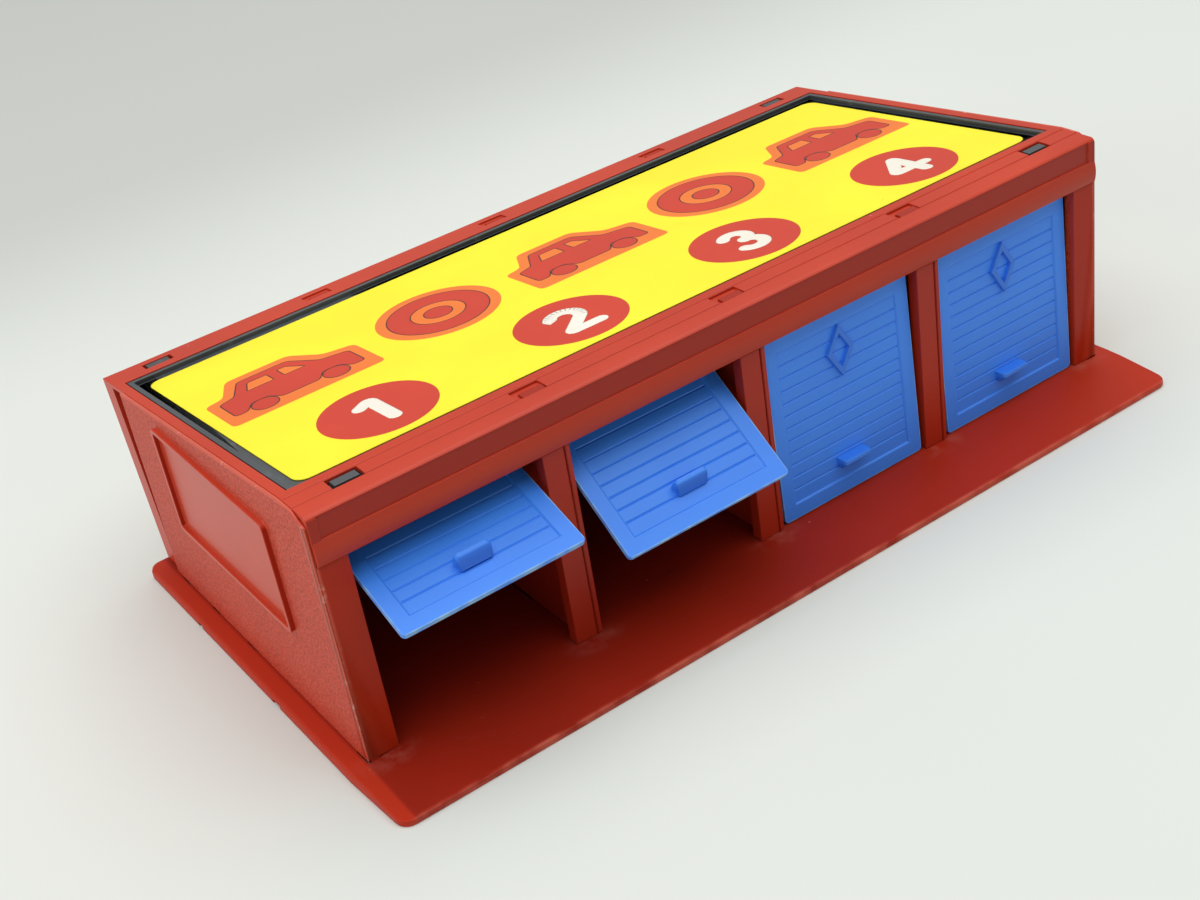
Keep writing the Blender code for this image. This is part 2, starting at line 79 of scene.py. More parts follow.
def startEdit(piece):
    activate(piece)
    bpy.ops.object.mode_set(mode="EDIT")


def endEdit():
    bpy.ops.object.mode_set(mode="OBJECT")


def applyPlace():
    bpy.ops.object.transform_apply(location=True, rotation=True, scale=True)


def addObject(name, data):
    piece = bpy.data.objects.new(name, data)
    bpy.context.scene.collection.objects.link(piece)
    return piece


def turnFacesOut():
    bpy.ops.mesh.select_all(action="SELECT")
    bpy.ops.mesh.normals_make_consistent(inside=False)


def pick(kind, test):
    # Selects the faces, edges or points of the mesh in edit mode that pass a test
    mesh = bpy.context.object.data
    bpy.ops.mesh.select_mode(type=kind)
    bpy.ops.mesh.select_all(action="DESELECT")
    work = bmesh.from_edit_mesh(mesh)
    parts = {"FACE": work.faces, "EDGE": work.edges, "VERT": work.verts}[kind]
    parts.ensure_lookup_table()
    for part in [part for part in parts if test(part)]:
        part.select_set(True)
    work.select_flush_mode()
    bmesh.update_edit_mesh(mesh)


def newCube(name, low, high):
    # A cube between two corners given in millimetres
    low, high = Vector(low) * mm, Vector(high) * mm
    bpy.ops.mesh.primitive_cube_add(size=1, location=(low + high) / 2)
    piece = bpy.context.object
    piece.name = name
    piece.scale = high - low
    applyPlace()
    return piece


def newBar(name, radius, start, end, centre, sides=32):
    # A round bar along X between two places, with the Y and Z of its centre line
    bpy.ops.mesh.primitive_cylinder_add(vertices=sides, radius=radius * mm, depth=(end - start) * mm,
                                        location=Vector(((start + end) / 2, *centre)) * mm,
                                        rotation=(0, math.pi / 2, 0))
    piece = bpy.context.object
    piece.name = name
    applyPlace()
    return piece


def joinPieces(pieces, name):
    activate(pieces[0])
    for piece in pieces:
        piece.select_set(True)
    bpy.ops.object.join()
    joined = bpy.context.object
    joined.name = name
    joined.data.name = name
    return joined


def softenEdges(piece, width, angle=40, segments=2, test=None):
    # Rounds the arrises as the mould does, keeping the flats flat in shading. A test narrows them down
    if test:
        startEdit(piece)
        pick("EDGE", lambda edge: edge.calc_face_angle(0) > math.radians(angle) and test(edge))
        bpy.ops.transform.edge_bevelweight(value=1)
        endEdit()
    activate(piece)
    piece.data.shade_smooth()
    bevel = piece.modifiers.new("Arrises", "BEVEL")
    bevel.width = width * mm
    bevel.segments = segments
    bevel.limit_method = "WEIGHT" if test else "ANGLE"
    bevel.angle_limit = math.radians(angle)
    bevel.use_clamp_overlap = False
    bevel.harden_normals = True
    bpy.ops.object.modifier_apply(modifier=bevel.name)


def weighFlats(piece):
    # The larger flats decide the shading of what lies between the sharp edges
    activate(piece)
    weighting = piece.modifiers.new("Flats", "WEIGHTED_NORMAL")
    weighting.keep_sharp = True
    weighting.weight = 100
    bpy.ops.object.modifier_apply(modifier=weighting.name)


def finishedCopy(node, name):
    # A copy of a CAD node with its loose triangles merged, ready for edit mode
    mesh = frame["nodes"][node].data.copy()
    mesh.materials.clear()
    piece = addObject(name, mesh)
    startEdit(piece)
    bpy.ops.mesh.customdata_custom_splitnormals_clear()
    bpy.ops.mesh.select_all(action="SELECT")
    bpy.ops.mesh.remove_doubles(threshold=0.002 * mm)
    bpy.ops.mesh.mark_sharp(clear=True)
    bpy.ops.mesh.dissolve_limited(angle_limit=math.radians(0.4))
    endEdit()
    return piece


def place(piece, material, body, slotName, *nodes):
    piece.data.materials.clear()
    piece.data.materials.append(material)
    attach(piece, body)
    if nodes:
        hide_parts(*nodes)


# Working in the shader editor

def colour(text):
    # An sRGB hex value as linear light
    parts = [int(text[start:start + 2], 16) / 255 for start in (1, 3, 5)]
    return [part / 12.92 if part <= 0.04045 else ((part + 0.055) / 1.055) ** 2.4 for part in parts] + [1]


noiseLow, noiseHigh = 0.35, 0.65        # nearly all of a noise texture lies between these


def perMetre(size):
    # Scale of a pattern whose features are a size in millimetres
    return 1000 / size


def newMaterial(name):
    material = bpy.data.materials.new(name)
    material.use_nodes = True
    return material, material.node_tree, material.node_tree.nodes["Principled BSDF"]


def feed(node, inputs):
    # Values, sockets or nodes into a node's sockets. A node stands for its own result
    for socket, value in inputs.items():
        if isinstance(value, bpy.types.Node):
            value = next(result for result in value.outputs if result.enabled)
        if isinstance(value, bpy.types.NodeSocket):
            node.id_data.links.new(value, node.inputs[socket])
        else:
            node.inputs[socket].default_value = value


def addNode(tree, kind, inputs=None, **settings):
    # A Mix that is fed at its socket 6 mixes colours
    node = tree.nodes.new("ShaderNode" + kind)
    inputs = inputs or {}
    if kind == "Mix" and 6 in inputs:
        node.data_type = "RGBA"
    for name, value in settings.items():
        setattr(node, name, value)
    feed(node, inputs)
    return node


def strewSpecks(tree, spot, below, look):
    # Small round specks, in the few cells that are picked for one
    cell = addNode(tree, "TexVoronoi", {"Vector": spot, "Scale": perMetre(look["speckSpacing"])})
    size = addNode(tree, "MapRange", {0: cell, 1: look["speckReach"], 2: 0.0, 4: look["speckMost"]})
    picked = addNode(tree, "Math", {0: cell.outputs["Color"], 1: look["speckRare"]}, operation="GREATER_THAN")
    speck = addNode(tree, "Math", {0: size, 1: picked}, operation="MULTIPLY")
    return addNode(tree, "Mix", {0: speck, 6: below, 7: colour(look["speck"])})


def wearPatches(tree, spot, below, mask, wear):
    # A worn tone in ragged patches, as far as a mask lets it through
    patches = addNode(tree, "TexNoise", {"Vector": spot, "Scale": perMetre(wear["size"]),
                                         "Detail": wear["detail"], "Roughness": wear["roughness"]})
    start, end = wear["range"]
    patchy = addNode(tree, "MapRange", {0: patches, 1: start, 2: end, 4: wear["most"]})
    worn = addNode(tree, "Math", {0: mask, 1: patchy}, operation="MULTIPLY")
    return worn, addNode(tree, "Mix", {0: worn, 6: below, 7: colour(wear["tone"])})


def mouldedPlastic(name, look, attribute=None):
    # Injection-moulded polystyrene: an even body colour under a semi-gloss skin with a slight
    # orange peel, faint flow marks, hairline scuffs and a little dust. Its IOR is 1.59
    material, tree, shader = newMaterial(name)
    if attribute:
        spot = addNode(tree, "Attribute", attribute_name=attribute).outputs["Vector"]
    else:
        spot = addNode(tree, "TexCoord").outputs["Object"]

    flow = addNode(tree, "TexNoise", {"Vector": spot, "Scale": perMetre(look["flowSize"]), "Detail": 3.0})
    flowRange = addNode(tree, "MapRange", {0: flow, 1: noiseLow, 2: noiseHigh})
    body = addNode(tree, "Mix", {0: flowRange, 6: colour(look["deep"]), 7: colour(look["body"])})
    scuff = addNode(tree, "TexNoise", {"Vector": spot, "Scale": perMetre(look["scuffSize"]), "Detail": 6.0,
                                       "Roughness": 0.7, "Distortion": 1.5})
    scuffLine = addNode(tree, "MapRange", {0: scuff, 1: look["scuffFrom"], 2: look["scuffTo"],
                                           4: look["scuffMost"]})
    scuffed = addNode(tree, "Mix", {0: scuffLine, 6: body, 7: colour(look["worn"])})
    dusty = strewSpecks(tree, spot, scuffed, look)

    sheen = addNode(tree, "MapRange", {0: flow, 3: look["roughLow"], 4: look["roughHigh"]})
    rough = addNode(tree, "Math", {0: sheen, 1: scuffLine}, operation="ADD")
    peel = addNode(tree, "TexNoise", {"Vector": spot, "Scale": perMetre(look["peelSize"]), "Detail": 2.0})
    bump = addNode(tree, "Bump", {"Height": peel, "Strength": look["peelStrength"],
                                  "Distance": look["peelHeight"] * mm})
    feed(shader, {"Base Color": dusty, "Roughness": rough, "Normal": bump, "IOR": 1.59,
                  "Specular IOR Level": look["gloss"]})
    return material, {"tree": tree, "shader": shader, "spot": spot, "colour": dusty, "rough": rough,
                      "bump": bump}


redLook = {
    "body": "#C2381A", "deep": "#B63116", "worn": "#D0705A", "speck": "#E3C7BC",
    "flowSize": 45, "roughLow": 0.34, "roughHigh": 0.46, "gloss": 0.3,
    "scuffSize": 9, "scuffFrom": 0.66, "scuffTo": 0.80, "scuffMost": 0.22,
    "speckSpacing": 3.2, "speckReach": 0.10, "speckMost": 0.5, "speckRare": 0.86,
    "peelSize": 1.1, "peelStrength": 0.25, "peelHeight": 0.03,
}
redPlastic, redParts = mouldedPlastic("mouldedPolystyreneRed", redLook)


def dressShell(parts, look):
    # The fronts are less glossy than the top and carry painted shade, and the long recess in the fascia has
    # deeper painted shade still
    tree = parts["tree"]
    axes = addNode(tree, "SeparateXYZ", {0: parts["spot"]})
    facing = addNode(tree, "SeparateXYZ", {0: addNode(tree, "TexCoord").outputs["Normal"]})
    start, end = look["forward"]
    forward = addNode(tree, "MapRange", {0: facing.outputs[1], 1: start, 2: end})
    gloss = addNode(tree, "Mix", {0: forward, 2: look["topGloss"], 3: look["frontGloss"]})
    feed(parts["shader"], {"Specular IOR Level": gloss})
    # Painted shade: faces turned to the front are darkened
    frontShade = addNode(tree, "Math", {0: forward, 1: look["frontShadeMost"]}, operation="MULTIPLY")
    body = addNode(tree, "Mix", {0: frontShade, 6: parts["colour"], 7: colour(look["frontShadeTone"])})

    # Painted shade in the recess, masked by its depth, its lower edge and its upper one
    low, high = look["recessHeight"]
    mask = forward
    for axis, (start, end), most in ((1, look["recessDepth"], 1), (2, (low - look["recessEdge"], low), 1),
                                     (2, (high + look["recessEdge"], high), look["recessShadeMost"])):
        limit = addNode(tree, "MapRange", {0: axes.outputs[axis], 1: start * mm, 2: end * mm, 4: most})
        mask = addNode(tree, "Math", {0: mask, 1: limit}, operation="MULTIPLY")
    toned = addNode(tree, "Mix", {0: mask, 6: body, 7: colour(look["recessShadeTone"])})
    feed(parts["shader"], {"Base Color": toned})


shellLook = {"forward": (-0.8, -0.97), "topGloss": 0.3, "frontGloss": 0.2, "frontShadeMost": 0.6,
             "frontShadeTone": "#A5321E", "recessDepth": (-40, -42), "recessHeight": (55.2, 60.2),
             "recessEdge": 0.1, "recessShadeMost": 0.75, "recessShadeTone": "#931F0E"}
dressShell(redParts, shellLook)

# The forecourt is the same red plastic, darkened as painted shade, with less gloss and a rougher skin
shadedBasePlastic, baseParts = mouldedPlastic("mouldedPolystyreneRedForecourtShaded", redLook | {
    "body": "#98210E", "deep": "#8D1E0C", "gloss": 0.12, "roughLow": 0.42, "roughHigh": 0.55})
wallPlastic, wallParts = mouldedPlastic("grainedPolystyreneRed",
                                        redLook | {"peelStrength": 0.1, "gloss": 0.4})
# The posts are the same red plastic, darkened as painted shade, with less gloss
shadedPostPlastic = mouldedPlastic("mouldedPolystyreneRedPostsShaded",
                             redLook | {"body": "#A92A12", "deep": "#9C2410", "gloss": 0.2})[0]

blueLook = redLook | {
    "body": "#3F8AF4", "deep": "#3981EC", "worn": "#8FBAF2", "speck": "#C9DAF2",
    "roughLow": 0.36, "scuffMost": 0.12, "peelSize": 0.9,
}
bluePlastic, blueParts = mouldedPlastic("mouldedPolystyreneBlue", blueLook, attribute="doorPlace")


def dressDoor(parts, look):
    # A rubbed, paler outline, and painted shade in a deeper blue under the handle's lip and on the diamond
    tree = parts["tree"]
    axes = addNode(tree, "SeparateXYZ", {0: parts["spot"]})
    side = addNode(tree, "Math", {0: axes.outputs[0]}, operation="ABSOLUTE")
    rise = addNode(tree, "Math", {0: axes.outputs[2], 1: look["middle"] * mm}, operation="SUBTRACT")
    ends = addNode(tree, "Math", {0: rise}, operation="ABSOLUTE")
    outline = 0.0
    for reach, limit in ((side, look["half"]), (ends, look["middle"])):
        near = addNode(tree, "MapRange", {0: reach, 1: (limit - look["rubWidth"]) * mm,
                                          2: (limit - look["rubWidth"] / 2) * mm})
        outline = addNode(tree, "Math", {0: outline, 1: near}, operation="MAXIMUM")
    toned = wearPatches(tree, parts["spot"], parts["colour"], outline, look["rub"])[1]

    # Painted shade on the proud handle under its lip and on the diamond
    start, end = look["proud"]
    proud = addNode(tree, "MapRange", {0: axes.outputs[1], 1: start * mm, 2: end * mm})
    for (start, end), most in ((look["lip"], look["lipShadeMost"]), (look["diamond"], look["diamondShadeMost"])):
        rise = addNode(tree, "MapRange", {0: axes.outputs[2], 1: start * mm, 2: end * mm, 4: most})
        shaded = addNode(tree, "Math", {0: proud, 1: rise}, operation="MULTIPLY")
        toned = addNode(tree, "Mix", {0: shaded, 6: toned, 7: colour(look["shadeTone"])})
    feed(parts["shader"], {"Base Color": toned})


doorLook = {
    "half": 20.9, "middle": 23.72, "rubWidth": 0.3,
    "rub": {"size": 5, "detail": 4.0, "roughness": 0.5, "range": (0.35, 0.6), "most": 0.6, "tone": "#A9CDC9"},
    "proud": (-0.1, -0.4), "lip": (8.7, 7.6), "lipShadeMost": 0.6, "diamond": (26, 28), "diamondShadeMost": 0.4,
    "shadeTone": "#1B4FB4",
}
dressDoor(blueParts, doorLook)

blackLook = redLook | {
    "body": "#42474B", "deep": "#373B3F", "worn": "#8A9096", "speck": "#B4B8BA",
    "gloss": 0.7, "scuffMost": 0.35, "scuffFrom": 0.58,
}
blackPlastic = mouldedPlastic("mouldedPolystyreneBlack", blackLook)[0]
print("plastics mixed")


# End walls: spark-eroded stipple on the outer face, and a smooth field inside the raised ring

wallLook = {
    "sideways": (0.8, 0.97), "forward": (-0.7, -0.97), "grainSize": 0.55, "grainHeight": 0.09,
    "grainStrength": 0.65, "pit": (0.36, 0.5), "pitTone": "#9A2810", "peak": (0.5, 0.66), "peakMost": 0.5,
    "peakTone": "#D26A54", "fieldDepth": (38.9, 93.3), "fieldHeight": (24.5, 51.0), "fieldEdge": 0.1,
    "grainRough": 0.6, "fieldRough": 0.34, "stripDepth": 20.9, "stripEdge": 0.3, "postShadeTone": "#A4270F",
    "arrisDepth": 19.6, "arrisSide": 104.8, "arrisReach": 1.1, "topReach": 0.8, "arrisHighlightTone": "#D2604B",
    "arrisHighlightMost": 0.6, "sideGloss": 0.4, "frontGloss": 0.12,
    "chips": {"size": 3.5, "detail": 5.0, "roughness": 0.75, "range": (0.58, 0.66), "most": 0.7,
              "tone": "#DE9A88"},
}


def dressWall(parts, look):
    tree, spot = parts["tree"], parts["spot"]
    axes = addNode(tree, "SeparateXYZ", {0: spot})
    facing = addNode(tree, "SeparateXYZ", {0: addNode(tree, "TexCoord").outputs["Normal"]})
    sideways = addNode(tree, "Math", {0: facing.outputs[0]}, operation="ABSOLUTE")
    start, end = look["sideways"]
    grained = addNode(tree, "MapRange", {0: sideways, 1: start, 2: end})
    inside = 1.0
    for axis, (low, high), shift in ((1, look["fieldDepth"], halfDepth), (2, look["fieldHeight"], 0)):
        middle, half = (low + high) / 2 - shift, (high - low) / 2
        away = addNode(tree, "Math", {0: axes.outputs[axis], 1: middle * mm}, operation="SUBTRACT")
        reach = addNode(tree, "Math", {0: away}, operation="ABSOLUTE")
        near = addNode(tree, "MapRange", {0: reach, 1: half * mm, 2: (half - look["fieldEdge"]) * mm})
        inside = addNode(tree, "Math", {0: inside, 1: near}, operation="MULTIPLY")
    outside = addNode(tree, "Math", {0: 1.0, 1: inside}, operation="SUBTRACT")
    strip = (look["stripDepth"] - halfDepth) * mm
    behindStrip = addNode(tree, "MapRange", {0: axes.outputs[1], 1: strip, 2: strip + look["stripEdge"] * mm})
    for mask in (outside, behindStrip):
        grained = addNode(tree, "Math", {0: grained, 1: mask}, operation="MULTIPLY")

    grain = addNode(tree, "TexNoise", {"Vector": spot, "Scale": perMetre(look["grainSize"]), "Detail": 2.5,
                                       "Roughness": 0.6})
    strength = addNode(tree, "Math", {0: grained, 1: look["grainStrength"]}, operation="MULTIPLY")
    stipple = addNode(tree, "Bump", {"Height": grain, "Strength": strength,
                                     "Distance": look["grainHeight"] * mm, "Normal": parts["bump"]})
    start, end = look["pit"]
    pit = addNode(tree, "MapRange", {0: grain, 1: start, 2: end})
    start, end = look["peak"]
    peak = addNode(tree, "MapRange", {0: grain, 1: start, 2: end, 4: look["peakMost"]})
    pitted = addNode(tree, "Mix", {0: pit, 6: colour(look["pitTone"]), 7: parts["colour"]})
    peaked = addNode(tree, "Mix", {0: peak, 6: pitted, 7: colour(look["peakTone"])})
    toned = addNode(tree, "Mix", {0: grained, 6: parts["colour"], 7: peaked})
    # Painted shade: faces turned to the front are darker
    start, end = look["forward"]
    forward = addNode(tree, "MapRange", {0: facing.outputs[1], 1: start, 2: end})
    postShaded = addNode(tree, "Mix", {0: forward, 6: toned, 7: colour(look["postShadeTone"])})

    # Arrises: a painted highlight along the wall's front edge and along its top edge on the slope of the
    # roof, with worn chips
    side = addNode(tree, "Math", {0: axes.outputs[0]}, operation="ABSOLUTE")
    across = addNode(tree, "Math", {0: side, 1: look["arrisSide"] * mm}, operation="SUBTRACT")
    along = addNode(tree, "Math", {0: axes.outputs[1], 1: (look["arrisDepth"] - halfDepth) * mm},
                    operation="SUBTRACT")
    corner = addNode(tree, "CombineXYZ", {0: across, 1: along})
    distance = addNode(tree, "VectorMath", {0: corner}, operation="LENGTH")
    front = addNode(tree, "MapRange", {0: distance, 1: look["arrisReach"] * mm,
                                       2: look["arrisReach"] * mm / 2})
    slope = addNode(tree, "Math", {0: axes.outputs[1], 1: -math.tan(roofTurn), 2: axes.outputs[2]},
                    operation="MULTIPLY_ADD")
    crest = (roofTop(halfDepth) - look["topReach"]) * mm
    top = addNode(tree, "MapRange", {0: slope, 1: crest, 2: crest + look["topReach"] / 2 * mm})
    close = addNode(tree, "Math", {0: front, 1: top}, operation="MAXIMUM")
    # The paler arris tone is painted highlight, and the chips below are wear
    rubbed = addNode(tree, "Math", {0: close, 1: look["arrisHighlightMost"]}, operation="MULTIPLY")
    arrisHighlighted = addNode(tree, "Mix", {0: rubbed, 6: postShaded, 7: colour(look["arrisHighlightTone"])})
    chipped = wearPatches(tree, spot, arrisHighlighted, close, look["chips"])[1]

    skin = addNode(tree, "Mix", {0: grained, 2: look["fieldRough"], 3: look["grainRough"]})
    gloss = addNode(tree, "Mix", {0: forward, 2: look["sideGloss"], 3: look["frontGloss"]})
    feed(parts["shader"], {"Base Color": chipped, "Roughness": skin, "Specular IOR Level": gloss,
                           "Normal": stipple})


dressWall(wallParts, wallLook)


# Forecourt: rubbed dust round the posts' feet, a pale front edge, and painted light on the right half and the
# sides

baseLook = {
    "paintedLit": "#BC3116", "paintedLitMost": 0.7, "paintedLitAcross": (-10, 105), "paintedLitSide": (105, 105.8),
    "edgeReach": 1.0,
    "edge": {"size": 7, "detail": 5.0, "roughness": 0.5, "range": (0.35, 0.6), "most": 0.7,
             "tone": "#C8604C"},
    "rubDepth": 18.6, "rubReach": (5.1, 0.9), "rubStretch": (0.62, 1, 1),
    "rub": {"size": 4, "detail": 7.0, "roughness": 0.7, "range": (0.4, 0.66), "most": 0.45,
            "tone": "#B5695C"},
}


def dressBase(parts, look):
    # Painted light: the right half and the sides are lighter, and the front edge is rubbed pale in places
    tree, spot = parts["tree"], parts["spot"]
    axes = addNode(tree, "SeparateXYZ", {0: spot})
    side = addNode(tree, "Math", {0: axes.outputs[0]}, operation="ABSOLUTE")
    # Painted light towards the right and on the sides
    paintedLitMask = 0.0
    for across, (start, end) in ((axes.outputs[0], look["paintedLitAcross"]), (side, look["paintedLitSide"])):
        paintedLit = addNode(tree, "MapRange", {0: across, 1: start * mm, 2: end * mm, 4: look["paintedLitMost"]})
        paintedLitMask = addNode(tree, "Math", {0: paintedLitMask, 1: paintedLit}, operation="MAXIMUM")
    body = addNode(tree, "Mix", {0: paintedLitMask, 6: parts["colour"], 7: colour(look["paintedLit"])})
    edge = addNode(tree, "MapRange", {0: axes.outputs[1], 1: (look["edgeReach"] - halfDepth) * mm,
                                      2: (look["edgeReach"] / 3 - halfDepth) * mm})
    edged = wearPatches(tree, spot, body, edge, look["edge"])[1]

    # Ovals of dust round the feet
    along = addNode(tree, "Math", {0: axes.outputs[1], 1: (look["rubDepth"] - halfDepth) * mm},
                    operation="SUBTRACT")
    start, end = look["rubReach"]
    feet = 0.0
    for centre in postCentres:
        across = addNode(tree, "Math", {0: axes.outputs[0], 1: centre * mm}, operation="SUBTRACT")
        corner = addNode(tree, "CombineXYZ", {0: across, 1: along})
        scaled = addNode(tree, "Mapping", {0: corner, 3: look["rubStretch"]})
        distance = addNode(tree, "VectorMath", {0: scaled}, operation="LENGTH")
        close = addNode(tree, "MapRange", {0: distance, 1: start * mm, 2: end * mm})
        feet = addNode(tree, "Math", {0: feet, 1: close}, operation="MAXIMUM")
    rubbed, toned = wearPatches(tree, spot, edged, feet, look["rub"])
    rough = addNode(tree, "Math", {0: parts["rough"], 1: rubbed}, operation="ADD")
    feed(parts["shader"], {"Base Color": toned, "Roughness": rough})


dressBase(baseParts, baseLook)


# Printed paper label under clear varnish: solid inks, a faint paper tooth and a few handling specks

def printedPaper(name, ink, inkShade, look):
    material, tree, shader = newMaterial(name)
    spot = addNode(tree, "TexCoord").outputs["Object"]
    tone = addNode(tree, "TexNoise", {"Vector": spot, "Scale": perMetre(look["toneSize"]), "Detail": 4.0})
    toneRange = addNode(tree, "MapRange", {0: tone, 1: noiseLow, 2: noiseHigh})
    inked = addNode(tree, "Mix", {0: toneRange, 6: colour(inkShade), 7: colour(ink)})
    marked = strewSpecks(tree, spot, inked, look)
    rough = addNode(tree, "MapRange", {0: tone, 3: look["roughLow"], 4: look["roughHigh"]})
    tooth = addNode(tree, "TexNoise", {"Vector": spot, "Scale": perMetre(look["toothSize"]), "Detail": 3.0})
    bump = addNode(tree, "Bump", {"Height": tooth, "Strength": 0.2, "Distance": look["toothHeight"] * mm})
    feed(shader, {"Base Color": marked, "Roughness": rough, "Normal": bump, "IOR": 1.5})
    return material


paperLook = {"toneSize": 30, "speckSpacing": 5, "speckReach": 0.06, "speckMost": 0.6, "speckRare": 0.9,
             "speck": "#7A6A20", "roughLow": 0.42, "roughHigh": 0.52, "toothSize": 0.6, "toothHeight": 0.02}
yellowPaper = printedPaper("printedPaperYellow", "#F8EA22", "#F3E21C", paperLook)
orangeInk = printedPaper("printedInkOrange", "#EC7A28", "#E67224", paperLook)
redInk = printedPaper("printedInkRed", "#CB371E", "#C3331C", paperLook)
whiteInk = printedPaper("printedInkOffWhite", "#ECE6DA", "#E6DFD0", paperLook)
darkInk = printedPaper("printedInkDark", "#4A1F1A", "#42201B", paperLook)
print("label inks mixed")


# Plinth: the CAD plate with softened arrises, and the gate pips on the floor of each bay

plinth = {"arris": 0.22, "pipDepth": 25.0, "pipRadius": 0.7, "pipHeight": 0.1, "top": 2.6,
          "slotReach": 105.3, "rimReach": 54, "fillDepths": (21.5, 71.9, 90.4, 107.0), "fillReach": 2.25,
          "fillSide": (104.97, 105.12), "fillHeight": (1.1, 2.45)}
basePiece = finishedCopy("base_plate", "plinth")


def onRim(edge):
    return all(abs(vert.co.x) > plinth["slotReach"] * mm or abs(vert.co.y) > plinth["rimReach"] * mm
               for vert in edge.verts)


softenEdges(basePiece, plinth["arris"], angle=50, test=onRim)
bpy.ops.object.shade_smooth_by_angle(angle=math.radians(35))
weighFlats(basePiece)
pips = []
for centre in bayCentres:
    bpy.ops.mesh.primitive_uv_sphere_add(segments=24, ring_count=12, radius=plinth["pipRadius"] * mm,
                                         location=Vector((centre, plinth["pipDepth"] - halfDepth,
                                                          plinth["top"])) * mm)
    pip = bpy.context.object
    pip.scale.z = plinth["pipHeight"] / plinth["pipRadius"]
    applyPlace()
    pip.data.shade_smooth()
    pips.append(pip)
fills = []
for side in (-1, 1):
    left, right = sorted(side * edge for edge in plinth["fillSide"])
    for depth in plinth["fillDepths"]:
        low, high = (depth - halfDepth + way * plinth["fillReach"] for way in (-1, 1))
        fills.append(newCube("slot_fill", (left, low, plinth["fillHeight"][0]),
                             (right, high, plinth["fillHeight"][1])))
basePiece = joinPieces([basePiece] + pips + fills, "plinth")
place(basePiece, shadedBasePlastic, "garage", "red_plastic", "base_plate")
print("plinth done")


# Partitions: a fine groove down the right of each post's front leaves a narrow strip

post = {"arris": 0.22, "front": 19.4, "half": 3.3, "strip": 1.2, "groove": 0.2, "grooveDepth": 0.04,
        "foot": 2.9, "footDrop": 0.26, "tabAcross": 2.75, "tabDepths": (26.2, 121.2), "tabReach": 1.2,
        "tabShift": (0.55, -0.75), "tabFrom": 46}


def dropFoot(piece):
    # Stands a wall on the plinth, closing the fitting gap under it
    startEdit(piece)
    pick("VERT", lambda vert: abs(vert.co.z - post["foot"] * mm) < touch)
    bpy.ops.transform.translate(value=(0, 0, -post["footDrop"] * mm))
    endEdit()


def shiftTabs(piece, centre):
    # Sets each roof tab towards the front right of its slot
    across, back = post["tabShift"]
    startEdit(piece)
    for depth in post["tabDepths"]:
        pick("VERT", lambda vert: abs(vert.co.x - centre * mm) < (post["tabAcross"] + 0.05) * mm
             and abs(abs(vert.co.x - centre * mm) - post["tabAcross"] * mm) < 0.05 * mm
             and abs(vert.co.y - (depth - halfDepth) * mm) < post["tabReach"] * mm
             and vert.co.z > post["tabFrom"] * mm)
        bpy.ops.transform.translate(value=(across * mm, back * mm, 0))
    endEdit()


def cutPostGroove(piece, centre):
    frontY = (post["front"] - halfDepth) * mm
    right = (centre + post["half"] - post["strip"]) * mm
    left = right - post["groove"] * mm

    def onFront(face):
        return face.normal.y < -0.99 and abs(face.calc_center_median().y - frontY) < 0.1 * mm

    startEdit(piece)
    for edge in (right, left):
        pick("FACE", onFront)
        bpy.ops.mesh.bisect(plane_co=(edge, 0, 0), plane_no=(1, 0, 0))
    pick("FACE", lambda face: onFront(face) and left < face.calc_center_median().x < right)
    bpy.ops.mesh.extrude_region_move(TRANSFORM_OT_translate={"value": (0, post["grooveDepth"] * mm, 0)})
    endEdit()


for number, centre in enumerate(postCentres[1:4], 1):
    partition = finishedCopy(f"partition_{number}", f"partition_{number}_post")
    cutPostGroove(partition, centre)
    dropFoot(partition)
    shiftTabs(partition, centre)
    softenEdges(partition, post["arris"], angle=18)
    place(partition, shadedPostPlastic, "garage", "red_plastic", f"partition_{number}")
print("partitions done")


# End walls, roof shell and roof panel

moulding = {"wallArris": 0.2, "shellArris": 0.1, "panelArris": 0.12, "wallOuter": 104.95, "frontArris": 0.45,
            "arrisStrip": 1.6, "shellHalf": 103.95, "shellGap": 0.27, "slotHalf": (3.7, 2.2),
            "slotFloor": (0.6, 0.8)}


def roundFrontArris(wall):
    # The outer face's front strip as one face, for a clean round along its edge
    frontY = (post["front"] - halfDepth) * mm
    stripY = frontY + moulding["arrisStrip"] * mm
    outerX = moulding["wallOuter"] * mm - touch
    startEdit(wall)
    pick("FACE", lambda face: all(abs(vert.co.x) > outerX for vert in face.verts)
         and min(vert.co.y for vert in face.verts) < stripY)
    bpy.ops.mesh.bisect(plane_co=(0, stripY, 0), plane_no=(0, 1, 0))
    pick("FACE", lambda face: all(abs(vert.co.x) > outerX and vert.co.y < stripY + touch
                                  for vert in face.verts))
    bpy.ops.mesh.dissolve_faces()
    pick("EDGE", lambda edge: all(abs(vert.co.x) > outerX and abs(vert.co.y - frontY) < touch
                                  for vert in edge.verts))
    bpy.ops.mesh.bevel(offset=moulding["frontArris"] * mm, segments=4, affect="EDGES")
    endEdit()


for side in ("left", "right"):
    wall = finishedCopy(f"{side}_end_wall", f"{side}_end_wall_grained")
    dropFoot(wall)
    roundFrontArris(wall)
    softenEdges(wall, moulding["wallArris"], angle=18)
    place(wall, wallPlastic, "garage", "red_grained_plastic", f"{side}_end_wall")

